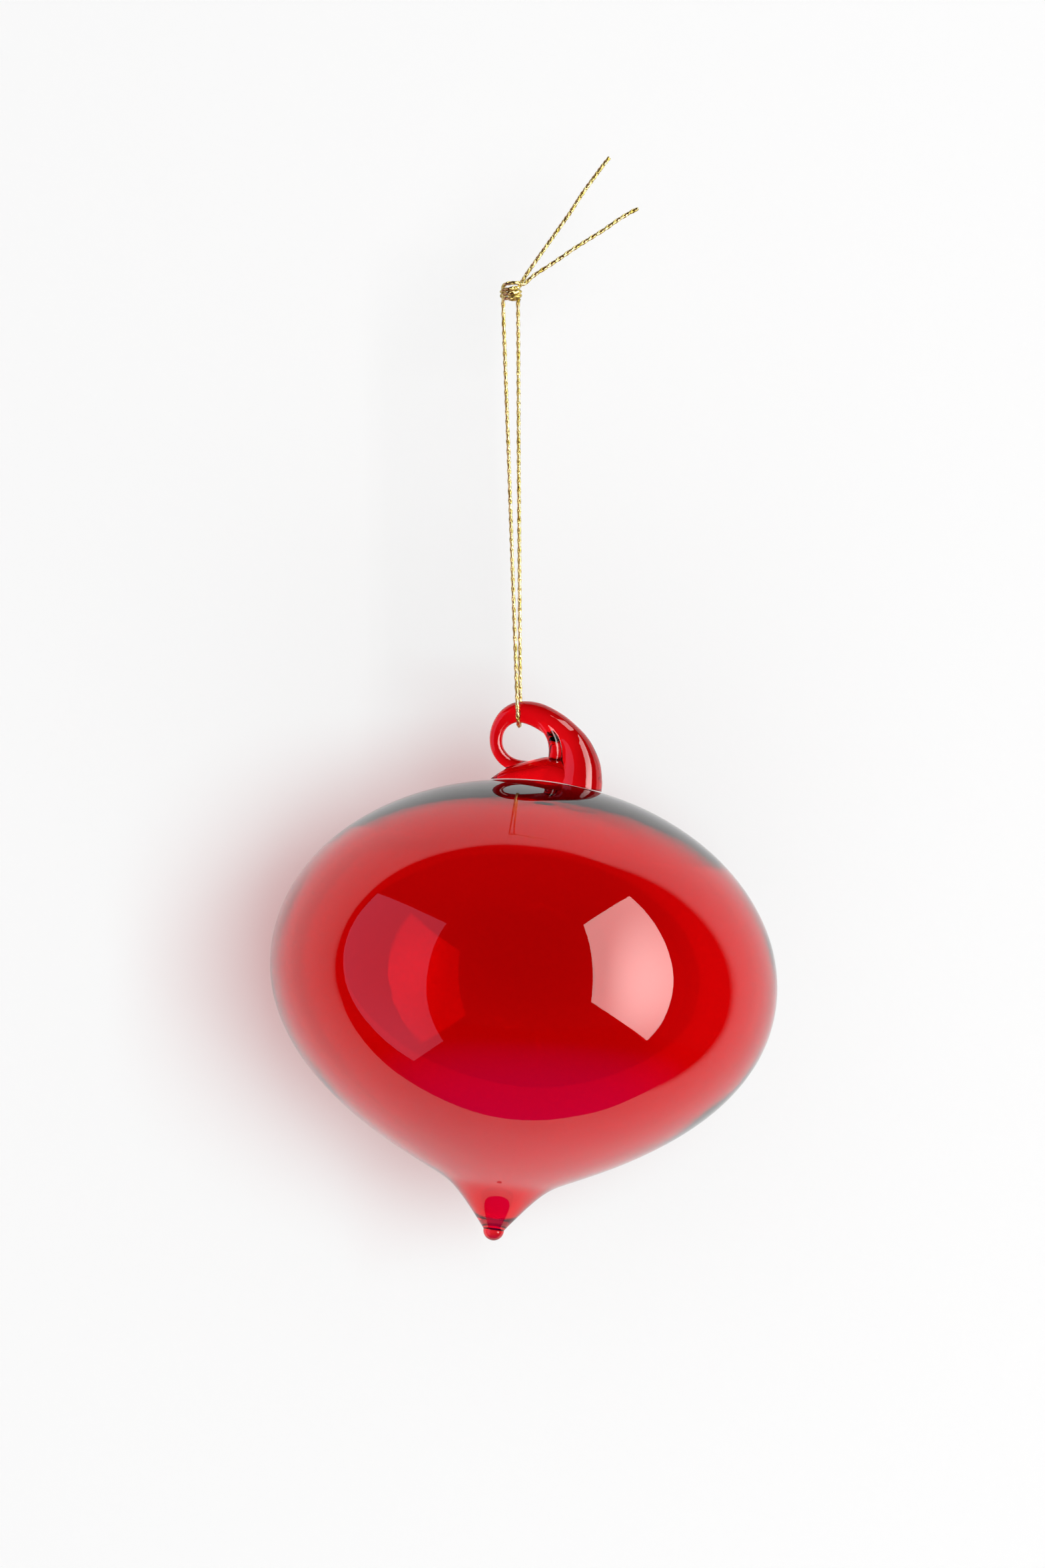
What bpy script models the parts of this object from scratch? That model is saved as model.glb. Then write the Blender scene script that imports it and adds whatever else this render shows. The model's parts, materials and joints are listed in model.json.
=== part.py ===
"""Glass ball ornament: a blown ball drawn out to a tip, an applied hanging hook and a thin gold cord.

Metres, +Z up.  The origin is the hanging point, between the cord's two strands just under its knot.
The front is towards -Y, and the ball hangs straight below the origin.
"""
import math

import bmesh
import bpy
import numpy as np
from mathutils import Matrix, Vector

MM = 0.001

OBJECT_NAME = "glass_ball_ornament"

# Running and seating clearance between any two pieces
GAP = 0.3 * MM

# Blown ball, measured from its widest ring
BALL_RADIUS = 40.0 * MM
CROWN_HEIGHT = 30.8 * MM
BALL_WALL = 1.0 * MM
BLOW_HOLE_RADIUS = 1.5 * MM
BELLY_DEPTH = 32.4 * MM          # where the belly turns into the drawn tip
BELLY_END_RADIUS = 9.4 * MM
BELLY_SLOPE = math.radians(28)
BELLY_FULLNESS = 0.62            # share of the depth over which the belly stays steep
BELLY_FLATNESS = 0.18            # share of the width over which its end stays straight
TIP_DEPTH = 42.0 * MM            # down to the lowest point of the tip
TIP_SLOPE = math.radians(55)
TIP_HOLLOW = 0.30                # pull of the two tangents that make the tip concave
TIP_STRAIGHT = 0.85
BEAD_RADIUS = 1.65 * MM
BEAD_NECK_ANGLE = math.radians(12)
TIP_SOLID_LENGTH = 3.4 * MM      # solid glass above the lowest point

# Hanging hook: rod stations as x, y and height over the crown, then rod radius
HOOK_STATIONS = [
    (4.8, 0.0, -1.4, 3.7),
    (4.6, 0.0, 2.2, 3.45),
    (3.5, 0.0, 4.8, 3.1),
    (1.9, 0.0, 7.1, 2.6),
    (-0.4, 0.0, 9.0, 2.15),
    (-2.9, 0.0, 10.1, 1.8),
    (-7.4, 0.0, 9.35, 1.35),
    (-8.5, 0.1, 7.8, 1.15),
    (-8.8, 0.3, 6.0, 1.03),
    (-8.3, 0.5, 4.2, 1.0),
    (-7.0, 0.7, 2.7, 1.0),
    (-5.1, 0.8, 1.95, 1.0),
    (-2.6, 0.8, 2.3, 1.0),
]
HOOK_TOP_INDEX = 6
HOOK_TOP_X = -5.6 * MM           # where the cord carries the hook
HOOK_TOP_HEIGHT = 10.3 * MM
HOOK_TOP_ROD_RADIUS = 1.52 * MM
FOOT_LENGTH = 17.2 * MM
FOOT_WIDTH = 13.0 * MM
FOOT_HEIGHT = 4.0 * MM
FOOT_SINK = 0.5 * MM             # widest line of the foot, under the crown
FOOT_TILT = math.radians(5)      # the foot rises towards the thick end of the rod

# Saddle: the glass that fills the corner of the eye where the rod springs from the foot
SADDLE_CENTRE = (2.2 * MM, -0.6 * MM, 3.0 * MM)
SADDLE_SIZE = (5.2 * MM, 4.8 * MM, 5.6 * MM)

# Cord
CORD_DIAMETER = 0.65 * MM
CORD_STEP = 2.3 * MM
LOOP_DROP = 64.7 * MM            # from the hanging point to the middle of the hook's rod
STRAND_SPREAD = 1.18 * MM        # half the distance between the strands at the knot
KNOT_WIDTH = 4.1 * MM
KNOT_HEIGHT = 2.8 * MM
KNOT_DEPTH = 3.4 * MM
KNOT_OFFSET = 0.15 * MM

# Each strand: share of the drop, share of the spread, share of the bight's radius
STRAND_SHAPE = [
    (0.00, 1.00, 0.00),
    (0.10, 0.91, 0.07),
    (0.22, 0.78, 0.19),
    (0.38, 0.59, 0.35),
    (0.55, 0.44, 0.53),
    (0.72, 0.28, 0.71),
    (0.88, 0.12, 0.88),
    (1.00, 0.00, 1.00),
]

# Free ends of the cord, from the knot outwards
TAIL_1_ROUTE = [
    (1.72, 0.45, 2.95),
    (2.86, 0.52, 4.66),
    (4.72, 0.60, 7.20),
    (6.21, 0.68, 9.20),
    (7.88, 0.78, 11.48),
    (9.74, 0.88, 14.02),
    (11.60, 1.00, 16.80),
    (13.64, 1.12, 19.50),
    (14.90, 1.22, 21.15),
    (16.06, 1.30, 22.53),
]
TAIL_2_ROUTE = [
    (2.18, -0.45, 2.62),
    (3.74, -0.36, 3.98),
    (5.94, -0.24, 5.37),
    (7.96, -0.12, 6.66),
    (10.16, 0.00, 8.14),
    (12.54, 0.14, 9.59),
    (15.10, 0.30, 11.14),
    (17.11, 0.44, 12.52),
    (19.14, 0.58, 13.72),
    (20.41, 0.66, 14.32),
]

# Faceting
TURN_STEPS = 48
DOME_POINTS = 12
BELLY_POINTS = 11
TIP_POINTS = 7
BEAD_POINTS = 6
BIGHT_POINTS = 9
ROD_RESOLUTION = 3
AXIS_MERGE = 0.00001

# Values worked out from the sizes above
CORD_RADIUS = CORD_DIAMETER / 2
BIGHT_RADIUS = HOOK_TOP_ROD_RADIUS + GAP + CORD_RADIUS
HOOK_TOP = Vector((HOOK_TOP_X, 0, CROWN_HEIGHT + HOOK_TOP_HEIGHT))


# ---------------------------------------------------------------- helpers

def clear_scene():
    for obj in list(bpy.data.objects):
        bpy.data.objects.remove(obj, do_unlink=True)


def make_collection(name):
    collection = bpy.data.collections.new(name)
    bpy.context.scene.collection.children.link(collection)
    return collection


def make_glass(name, color):
    return make_material(name, color, roughness=0.02, transmission=1.0)


def make_gold(name):
    return make_material(name, (0.80, 0.60, 0.20), roughness=0.28, metallic=1.0)


def make_material(name, color, roughness, metallic=0.0, transmission=0.0):
    material = bpy.data.materials.new(name)
    material.use_nodes = True
    shader = material.node_tree.nodes["Principled BSDF"]
    shader.inputs["Base Color"].default_value = (*color, 1.0)
    shader.inputs["Roughness"].default_value = roughness
    shader.inputs["Metallic"].default_value = metallic
    shader.inputs["Transmission Weight"].default_value = transmission
    return material


def add_object(name, mesh, collection, material=None):
    if material:
        mesh.materials.append(material)
    obj = bpy.data.objects.new(name, mesh)
    collection.objects.link(obj)
    return obj


def mark_as_cutter(obj):
    obj.hide_render = True
    obj.display_type = "WIRE"


def shade_round(mesh, angle=math.radians(40)):
    mesh.shade_smooth()
    mesh.set_sharp_from_angle(angle=angle)


def bezier(start, start_handle, end_handle, end, count):
    """Points of a cubic Bezier curve, without its first point."""
    points = []
    for i in range(1, count + 1):
        t = i / count
        s = 1 - t
        handles = 3 * s * s * t * start_handle + 3 * s * t * t * end_handle
        points.append(s**3 * start + handles + t**3 * end)
    return points


def smooth_route(points, step):
    """Points at about an even step along a smooth curve through the given ones."""
    knots = [Vector(p) for p in points]
    knots = [2 * knots[0] - knots[1], *knots, 2 * knots[-1] - knots[-2]]
    dense = []
    for a, b, c, d in zip(knots, knots[1:], knots[2:], knots[3:]):
        for i in range(20):
            t = i / 20
            dense.append(0.5 * (2 * b + (c - a) * t + (2 * a - 5 * b + 4 * c - d) * t**2
                                + (3 * b - a - 3 * c + d) * t**3))
    dense.append(knots[-2])
    lengths = np.cumsum([0.0] + [(q - p).length for p, q in zip(dense, dense[1:])])
    stations = np.linspace(0, lengths[-1], max(2, round(lengths[-1] / step) + 1))
    table = np.array(dense)
    return [Vector([np.interp(s, lengths, table[:, axis]) for axis in range(3)]) for s in stations]


def evaluated_mesh(obj):
    return obj.evaluated_get(bpy.context.evaluated_depsgraph_get()).to_mesh()


def volume_and_moment(obj):
    """Volume of a closed object, and its volume times its centroid, in its own coordinates."""
    mesh = evaluated_mesh(obj)
    mesh.calc_loop_triangles()
    volume = 0.0
    moment = Vector()
    for triangle in mesh.loop_triangles:
        a, b, c = (mesh.vertices[i].co for i in triangle.vertices)
        part = a.dot(b.cross(c)) / 6
        volume += part
        moment += part * (a + b + c) / 4
    return volume, moment


# ---------------------------------------------------------------- turned shapes

def turned_object(name, profile, collection, material=None):
    """Solid turned about Z from a profile of (radius, height) that starts and ends on the axis."""
    mesh = bpy.data.meshes.new(name)
    vertices = [(radius, 0, height) for radius, height in profile]
    edges = [(i, i + 1) for i in range(len(vertices) - 1)]
    mesh.from_pydata(vertices, edges, [])
    obj = add_object(name, mesh, collection, material)
    screw = obj.modifiers.new("turn", "SCREW")
    screw.axis = "Z"
    screw.steps = TURN_STEPS
    screw.render_steps = TURN_STEPS
    screw.use_merge_vertices = True
    screw.merge_threshold = AXIS_MERGE
    screw.use_smooth_shade = True
    return obj


def dome_profile(first_radius):
    """Upper side of the ball, from a small radius near the crown down to the widest ring."""
    first_angle = math.asin(first_radius / BALL_RADIUS)
    points = []
    for i in range(DOME_POINTS + 1):
        angle = first_angle + (math.pi / 2 - first_angle) * i / DOME_POINTS
        points.append(Vector((BALL_RADIUS * math.sin(angle), CROWN_HEIGHT * math.cos(angle))))
    return points


def belly_profile():
    widest = Vector((BALL_RADIUS, 0))
    end = Vector((BELLY_END_RADIUS, -BELLY_DEPTH))
    steep = widest - Vector((0, BELLY_FULLNESS * BELLY_DEPTH))
    run = BELLY_FLATNESS * (BALL_RADIUS - BELLY_END_RADIUS)
    flat = end + run * Vector((math.cos(BELLY_SLOPE), math.sin(BELLY_SLOPE)))
    return bezier(widest, steep, flat, end, BELLY_POINTS)


def tip_profile():
    """Concave stretch that draws the belly down to the neck of the bead."""
    start = Vector((BELLY_END_RADIUS, -BELLY_DEPTH))
    bead_height = BEAD_RADIUS - TIP_DEPTH
    neck = Vector((BEAD_RADIUS * math.cos(BEAD_NECK_ANGLE),
                   bead_height + BEAD_RADIUS * math.sin(BEAD_NECK_ANGLE)))
    width = start.x - neck.x
    height = start.y - neck.y
    start_handle = start - TIP_HOLLOW * width * Vector((math.cos(BELLY_SLOPE), math.sin(BELLY_SLOPE)))
    neck_handle = neck + TIP_STRAIGHT * height * Vector((math.cos(TIP_SLOPE), math.sin(TIP_SLOPE)))
    return bezier(start, start_handle, neck_handle, neck, TIP_POINTS)


def bead_profile():
    """Round end of the tip, from its neck to its lowest point on the axis."""
    points = []
    for i in range(1, BEAD_POINTS + 1):
        angle = BEAD_NECK_ANGLE - (BEAD_NECK_ANGLE + math.pi / 2) * i / BEAD_POINTS
        points.append(Vector((BEAD_RADIUS * math.cos(angle),
                              BEAD_RADIUS * math.sin(angle) + BEAD_RADIUS - TIP_DEPTH)))
    points[-1].x = 0
    return points


def offset_inwards(profile, distance):
    """The profile moved square to itself, towards the axis side."""
    moved = []
    for i, point in enumerate(profile):
        before = profile[max(i - 1, 0)]
        after = profile[min(i + 1, len(profile) - 1)]
        along = (after - before).normalized()
        moved.append(point + distance * Vector((along.y, -along.x)))
    return moved


def make_glass_ball(collection, material):
    outer = dome_profile(BLOW_HOLE_RADIUS) + belly_profile() + tip_profile()
    cavity_end = TIP_SOLID_LENGTH - TIP_DEPTH
    inner = [p for p in offset_inwards(outer, BALL_WALL) if p.y > cavity_end and p.x > AXIS_MERGE]
    inner[0].x = BLOW_HOLE_RADIUS
    profile = [Vector((0, cavity_end)), *reversed(inner), *outer, *bead_profile()]
    return turned_object("glass_ball", profile, collection, material)


def make_ball_cutter(collection):
    """Upper half of the ball grown by the seating gap, which shapes the underside of the hook."""
    dome = offset_inwards(dome_profile(AXIS_MERGE), -GAP)
    profile = [Vector((0, CROWN_HEIGHT + GAP)), *dome[1:], Vector((0, 0))]
    cutter = turned_object("ball_seat_cutter", profile, collection)
    mark_as_cutter(cutter)
    return cutter


# ---------------------------------------------------------------- hanging hook

def hook_stations():
    """Centre and radius of the rod at each station, in metres from the ball's widest ring."""
    stations = []
    for x, y, height, radius in HOOK_STATIONS:
        stations.append((Vector((x * MM, y * MM, CROWN_HEIGHT + height * MM)), radius * MM))
    stations.insert(HOOK_TOP_INDEX, (HOOK_TOP, HOOK_TOP_ROD_RADIUS))
    return stations


def make_hook_rod(collection):
    """Tapered rod that rises from the thick end, curls over the eye and comes back to the foot."""
    curve = bpy.data.curves.new("hook_rod", "CURVE")
    curve.dimensions = "3D"
    curve.bevel_depth = 1.0
    curve.bevel_resolution = 3
    curve.resolution_u = ROD_RESOLUTION
    curve.use_fill_caps = True
    stations = hook_stations()
    spline = curve.splines.new("BEZIER")
    spline.bezier_points.add(len(stations) - 1)
    for point, (centre, radius) in zip(spline.bezier_points, stations):
        point.co = centre
        point.radius = radius
        point.handle_left_type = "AUTO"
        point.handle_right_type = "AUTO"
    return curve_to_mesh_object("hook_rod", curve, collection)


def curve_to_mesh_object(name, curve, collection):
    guide = bpy.data.objects.new(name + "_guide", curve)
    collection.objects.link(guide)
    bpy.context.view_layer.update()
    evaluated = guide.evaluated_get(bpy.context.evaluated_depsgraph_get())
    mesh = bpy.data.meshes.new_from_object(evaluated)
    mesh.name = name
    weld_mesh(mesh)
    obj = add_object(name, mesh, collection)
    obj.matrix_world = guide.matrix_world.copy()
    bpy.data.objects.remove(guide, do_unlink=True)
    return obj


def weld_mesh(mesh):
    work = bmesh.new()
    work.from_mesh(mesh)
    bmesh.ops.remove_doubles(work, verts=work.verts, dist=AXIS_MERGE)
    bmesh.ops.recalc_face_normals(work, faces=work.faces)
    work.to_mesh(mesh)
    work.free()


def egg_mesh(name, size, segments, transform=Matrix()):
    """Sphere stretched to the three sizes given, then placed."""
    mesh = bpy.data.meshes.new(name)
    work = bmesh.new()
    bmesh.ops.create_uvsphere(work, u_segments=segments, v_segments=segments // 2, radius=0.5)
    work.transform(transform @ Matrix.Diagonal((*size, 1)))
    work.to_mesh(mesh)
    work.free()
    return mesh


def make_foot_mesh():
    """Pad of glass that spreads over the crown: a flattened egg, tilted up towards the rod."""
    place = Matrix.Translation((0, 0, CROWN_HEIGHT - FOOT_SINK)) @ Matrix.Rotation(-FOOT_TILT, 4, "Y")
    return egg_mesh("hanging_hook", (FOOT_LENGTH, FOOT_WIDTH, 2 * FOOT_HEIGHT), 32, place)


def make_saddle(collection):
    place = Matrix.Translation(Vector(SADDLE_CENTRE) + Vector((0, 0, CROWN_HEIGHT)))
    return add_object("hook_saddle", egg_mesh("hook_saddle", SADDLE_SIZE, 20, place), collection)


def add_boolean(obj, operation, other):
    modifier = obj.modifiers.new(operation.lower(), "BOOLEAN")
    modifier.operation = operation
    modifier.solver = "EXACT"
    modifier.object = other


def make_hanging_hook(collection, cutters, material, ball_cutter):
    hook = add_object("hanging_hook", make_foot_mesh(), collection, material)
    for addition in (make_hook_rod(cutters), make_saddle(cutters)):
        mark_as_cutter(addition)
        add_boolean(hook, "UNION", addition)
    add_boolean(hook, "DIFFERENCE", ball_cutter)
    shade_round(hook.data)
    return hook


def hang_ornament(collection, pieces, cutters):
    """Hang the glass from the bight so that its centre of mass lies straight below the rod."""
    bpy.context.view_layer.update()
    totals = [volume_and_moment(piece) for piece in pieces]
    centre = sum((moment for _, moment in totals), Vector()) / sum(volume for volume, _ in totals)
    tilt = math.atan2(centre.x - HOOK_TOP.x, HOOK_TOP.z - centre.z)
    pivot = bpy.data.objects.new("ornament_pivot", None)
    collection.objects.link(pivot)
    pivot.location = (0, 0, -LOOP_DROP)
    pivot.rotation_euler = (0, tilt, 0)
    for obj in (*pieces, *cutters):
        obj.parent = pivot
        obj.location = -HOOK_TOP


# ---------------------------------------------------------------- cord

def make_cord_tube(name, points, collection, material):
    """Round cord along a route: a poly spline with a bevel and filled caps."""
    curve = bpy.data.curves.new(name, "CURVE")
    curve.dimensions = "3D"
    curve.bevel_depth = CORD_RADIUS
    curve.bevel_resolution = 2
    curve.use_fill_caps = True
    spline = curve.splines.new("POLY")
    spline.points.add(len(points) - 1)
    for spline_point, point in zip(spline.points, points):
        spline_point.co = (*point, 1)
    curve.materials.append(material)
    obj = bpy.data.objects.new(name, curve)
    collection.objects.link(obj)
    return obj


def make_tail(name, route, collection, material):
    points = smooth_route([Vector(p) * MM for p in route], CORD_STEP)
    return make_cord_tube(name, points, collection, material)


def make_strand(name, side, collection, material):
    """One strand of the loop: side -1 is the left one, which comes to the front of the rod."""
    top = -GAP / 2
    bottom = -LOOP_DROP + GAP / 2
    points = []
    for down, spread, depth in STRAND_SHAPE:
        height = top + down * (bottom - top)
        points.append((side * spread * STRAND_SPREAD, side * depth * BIGHT_RADIUS, height))
    return make_cord_tube(name, smooth_route(points, CORD_STEP), collection, material)


def make_bight(collection, material):
    """Half turn of the cord under the rod, whose ends meet the two strands."""
    pivot = bpy.data.objects.new("bight_pivot", None)
    collection.objects.link(pivot)
    pivot.location = (0, 0, -LOOP_DROP)
    start = math.asin(GAP / 2 / BIGHT_RADIUS)
    points = []
    for i in range(BIGHT_POINTS):
        angle = start + (math.pi - 2 * start) * i / (BIGHT_POINTS - 1)
        points.append((0, -BIGHT_RADIUS * math.cos(angle), -BIGHT_RADIUS * math.sin(angle)))
    bight = make_cord_tube("cord_bight", points, collection, material)
    bight.parent = pivot
    return bight


def make_knot(collection, material):
    """Outer shape of the overhand knot that both strands are tied in."""
    mesh = egg_mesh("cord_knot", (KNOT_WIDTH, KNOT_DEPTH, KNOT_HEIGHT), 24)
    mesh.shade_smooth()
    knot = add_object("cord_knot", mesh, collection, material)
    knot.location = (KNOT_OFFSET, 0, KNOT_HEIGHT / 2)
    return knot


# ---------------------------------------------------------------- assembly

def main():
    clear_scene()
    parts = make_collection(OBJECT_NAME)
    cutters = make_collection("cutters")

    ball = make_glass_ball(parts, make_glass("ball_glass", (0.75, 0.01, 0.015)))
    ball_cutter = make_ball_cutter(cutters)
    hook = make_hanging_hook(parts, cutters, make_glass("hook_glass", (0.80, 0.01, 0.02)), ball_cutter)
    hang_ornament(parts, (ball, hook), tuple(cutters.objects))

    make_knot(parts, make_gold("knot_gold"))
    make_tail("cord_tail_1", TAIL_1_ROUTE, parts, make_gold("tail_1_gold"))
    make_tail("cord_tail_2", TAIL_2_ROUTE, parts, make_gold("tail_2_gold"))
    make_strand("cord_strand_left", -1, parts, make_gold("strand_left_gold"))
    make_strand("cord_strand_right", 1, parts, make_gold("strand_right_gold"))
    make_bight(parts, make_gold("bight_gold"))


main()
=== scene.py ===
"""Looks of the glass ball ornament: blown ruby glass, a solid glass hook and a braided gold cord."""
import json
import math

import bmesh
import bpy
import numpy as np
from mathutils import Matrix, Vector, noise


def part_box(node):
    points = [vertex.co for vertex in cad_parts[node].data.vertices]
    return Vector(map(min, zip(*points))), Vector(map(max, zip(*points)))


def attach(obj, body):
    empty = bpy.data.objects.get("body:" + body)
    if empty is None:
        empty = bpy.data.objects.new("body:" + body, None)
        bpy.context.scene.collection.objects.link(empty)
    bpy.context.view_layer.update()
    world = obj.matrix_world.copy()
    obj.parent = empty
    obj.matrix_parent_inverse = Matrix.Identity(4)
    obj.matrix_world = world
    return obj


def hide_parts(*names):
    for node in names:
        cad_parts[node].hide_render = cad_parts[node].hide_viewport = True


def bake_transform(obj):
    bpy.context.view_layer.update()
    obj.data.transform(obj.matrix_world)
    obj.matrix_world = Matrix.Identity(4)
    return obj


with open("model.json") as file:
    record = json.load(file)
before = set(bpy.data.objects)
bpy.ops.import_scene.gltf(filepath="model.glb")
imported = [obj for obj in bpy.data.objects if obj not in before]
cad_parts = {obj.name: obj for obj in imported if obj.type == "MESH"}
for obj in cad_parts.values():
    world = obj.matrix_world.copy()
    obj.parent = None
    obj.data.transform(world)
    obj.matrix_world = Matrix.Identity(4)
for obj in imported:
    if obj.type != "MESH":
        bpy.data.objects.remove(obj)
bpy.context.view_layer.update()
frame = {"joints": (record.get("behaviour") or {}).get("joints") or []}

MM = 0.001

# ---------------------------------------------------------------- sizes, the CAD model's unless marked
BALL_RADIUS = 40.0 * MM
CROWN_HEIGHT = 30.8 * MM
BALL_WALL = 0.22 * MM            # here at the widest ring, thinner than the CAD model's 1.0
CROWN_WALL = 1.15 * MM           # here only
CROWN_WALL_SPREAD = 30.0 * MM    # here only: the radius at which the crown's thicker wall ends
BLOW_HOLE_RADIUS = 1.5 * MM
BELLY_DEPTH = 32.4 * MM
BELLY_END_RADIUS = 9.4 * MM
BELLY_SLOPE = math.radians(28)
BELLY_FULLNESS = 0.62
BELLY_FLATNESS = 0.18
TIP_DEPTH = 42.0 * MM
TIP_SLOPE = math.radians(52)      # here; 55 in the CAD model
TIP_HOLLOW = 0.30
TIP_STRAIGHT = 0.85
BEAD_RADIUS = 1.65 * MM
BEAD_NECK_ANGLE = math.radians(4)    # here; 12 in the CAD model
TIP_SOLID_LENGTH = 3.4 * MM
HOOK_TOP = Vector((-5.6, 0, 41.1)) * MM
HOOK_TOP_ROD_RADIUS = 1.52 * MM
CORD_DIAMETER = 0.65 * MM
CORD_RADIUS = CORD_DIAMETER / 2
STRAND_SPREAD = 1.18 * MM
BIGHT_CLEARANCE = 0.3 * MM
BIGHT_SLANT = 0.21 * MM          # here only: how far each strand stands aside on the rod

STRAND_SHAPE = [
    (0.00, 1.00, 0.00),
    (0.10, 0.91, 0.07),
    (0.22, 0.78, 0.19),
    (0.38, 0.59, 0.35),
    (0.55, 0.44, 0.53),
    (0.72, 0.28, 0.71),
    (0.88, 0.12, 0.88),
    (1.00, 0.00, 1.00),
]
TAIL_1_ROUTE = [
    (1.72, 0.45, 2.95),
    (2.86, 0.52, 4.66),
    (4.72, 0.60, 7.20),
    (6.21, 0.68, 9.20),
    (7.88, 0.78, 11.48),
    (9.74, 0.88, 14.02),
    (11.60, 1.00, 16.80),
    (13.64, 1.12, 19.50),
    (14.90, 1.22, 21.15),
    (16.06, 1.30, 22.53),
]
TAIL_2_ROUTE = [
    (2.18, -0.45, 2.62),
    (3.74, -0.36, 3.98),
    (5.94, -0.24, 5.37),
    (7.96, -0.12, 6.66),
    (10.16, 0.00, 8.14),
    (12.54, 0.14, 9.59),
    (15.10, 0.30, 11.14),
    (17.11, 0.44, 12.52),
    (19.14, 0.58, 13.72),
    (20.41, 0.66, 14.32),
]

# ---------------------------------------------------------------- places read from the frame
joints = {joint["name"]: joint for joint in frame["joints"]}
PIVOT = Vector(joints["front_rock"]["pos_m"])


def ornament_matrix():
    """Places the glass, modelled upright from the ball's widest ring, as the CAD model hangs it."""
    low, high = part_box("glass_ball")
    side = (low.x + high.x) / 2 - PIVOT.x
    tilt = math.atan2(-HOOK_TOP.x, HOOK_TOP.z) - math.asin(side / HOOK_TOP.length)
    return Matrix.Translation(PIVOT) @ Matrix.Rotation(tilt, 4, "Y") @ Matrix.Translation(-HOOK_TOP)


ORNAMENT = ornament_matrix()

# ---------------------------------------------------------------- camera
PICTURE_HEIGHT = 247.0 * MM      # of the plane through the ornament that the picture shows
CAMERA_AIM = Vector((0.34, 0, -76.0)) * MM
CAMERA_ROLL = math.radians(1.17)
LENS = 100.0
SENSOR_HEIGHT = 36.0


def add_camera():
    data = bpy.data.cameras.new("camera")
    data.sensor_fit = "VERTICAL"
    data.sensor_height = SENSOR_HEIGHT
    data.lens = LENS
    data.clip_start = 0.01
    camera = bpy.data.objects.new("camera", data)
    bpy.context.scene.collection.objects.link(camera)
    distance = PICTURE_HEIGHT * LENS / SENSOR_HEIGHT
    turn = Matrix.Rotation(math.pi / 2, 4, "X") @ Matrix.Rotation(-CAMERA_ROLL, 4, "Z")
    camera.matrix_world = Matrix.Translation(CAMERA_AIM - Vector((0, distance, 0))) @ turn
    bpy.context.scene.camera = camera


add_camera()


# ---------------------------------------------------------------- mesh helpers

CURVE_SAMPLES = 20               # between two given points of a smooth curve


def add_mesh(name, vertices, faces, material, smooth=True):
    mesh = bpy.data.meshes.new(name)
    mesh.from_pydata([tuple(v) for v in vertices], [], faces)
    mesh.validate()
    mesh.update()
    if smooth:
        mesh.shade_smooth()
    if material:
        mesh.materials.append(material)
    obj = bpy.data.objects.new(name, mesh)
    bpy.context.scene.collection.objects.link(obj)
    return obj


def smooth_route(points, step):
    """Points at an even step along a smooth curve through the given ones. Extra columns follow along."""
    knots = np.array([tuple(p) for p in points], float)
    knots = np.vstack([2 * knots[0] - knots[1], knots, 2 * knots[-1] - knots[-2]])
    rows = []
    for a, b, c, d in zip(knots, knots[1:], knots[2:], knots[3:]):
        for t in np.linspace(0, 1, CURVE_SAMPLES, endpoint=False):
            rows.append(0.5 * (2 * b + (c - a) * t + (2 * a - 5 * b + 4 * c - d) * t**2
                               + (3 * b - a - 3 * c + d) * t**3))
    rows.append(knots[-2])
    return resample(np.array(rows), step)


def lengths_along(points):
    """Distance from the first point to each one, over the first three columns."""
    return np.concatenate([[0.0], np.cumsum(np.linalg.norm(np.diff(points[:, :3], axis=0), axis=1))])


def resample(points, step):
    """The same line with points at an even step."""
    lengths = lengths_along(points)
    stations = np.linspace(0, lengths[-1], max(2, round(lengths[-1] / step) + 1))
    return np.column_stack([np.interp(stations, lengths, column) for column in points.T])


def frames_along(points):
    """Tangent, normal and binormal at each point, turned as little as possible from one to the next."""
    tangents = np.gradient(points, axis=0)
    tangents /= np.linalg.norm(tangents, axis=1)[:, None]
    seed = np.array([0.0, 1.0, 0.0]) if abs(tangents[0][1]) < 0.8 else np.array([1.0, 0.0, 0.0])
    normals = np.zeros_like(points)
    normal = seed - tangents[0] * seed.dot(tangents[0])
    for i, tangent in enumerate(tangents):
        normal = normal - tangent * normal.dot(tangent)
        normal = normal / np.linalg.norm(normal)
        normals[i] = normal
    return tangents, normals, np.cross(tangents, normals)


def tube_faces(rings, sides, first=0):
    """Faces of a closed tube whose rings follow each other in the vertex list."""
    faces = []
    for i in range(rings - 1):
        for k in range(sides):
            a = first + i * sides + k
            b = first + i * sides + (k + 1) % sides
            faces.append((a, b, b + sides, a + sides))
    faces.append(tuple(first + k for k in reversed(range(sides))))
    faces.append(tuple(first + (rings - 1) * sides + k for k in range(sides)))
    return faces


# ---------------------------------------------------------------- material helpers

def new_material(name):
    material = bpy.data.materials.new(name)
    material.use_nodes = True
    tree = material.node_tree
    tree.nodes.clear()
    output = tree.nodes.new("ShaderNodeOutputMaterial")
    return material, tree, output


def add_node(tree, kind, **inputs):
    node = tree.nodes.new(kind)
    for name, value in inputs.items():
        node.inputs[name.replace("_", " ")].default_value = value
    return node


def maths(tree, operation, *values):
    """Value socket of a sum on sockets or numbers."""
    node = tree.nodes.new("ShaderNodeMath")
    node.operation = operation
    for place, value in enumerate(values):
        if isinstance(value, (int, float)):
            node.inputs[place].default_value = value
        else:
            tree.links.new(value, node.inputs[place])
    return node.outputs["Value"]


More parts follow.
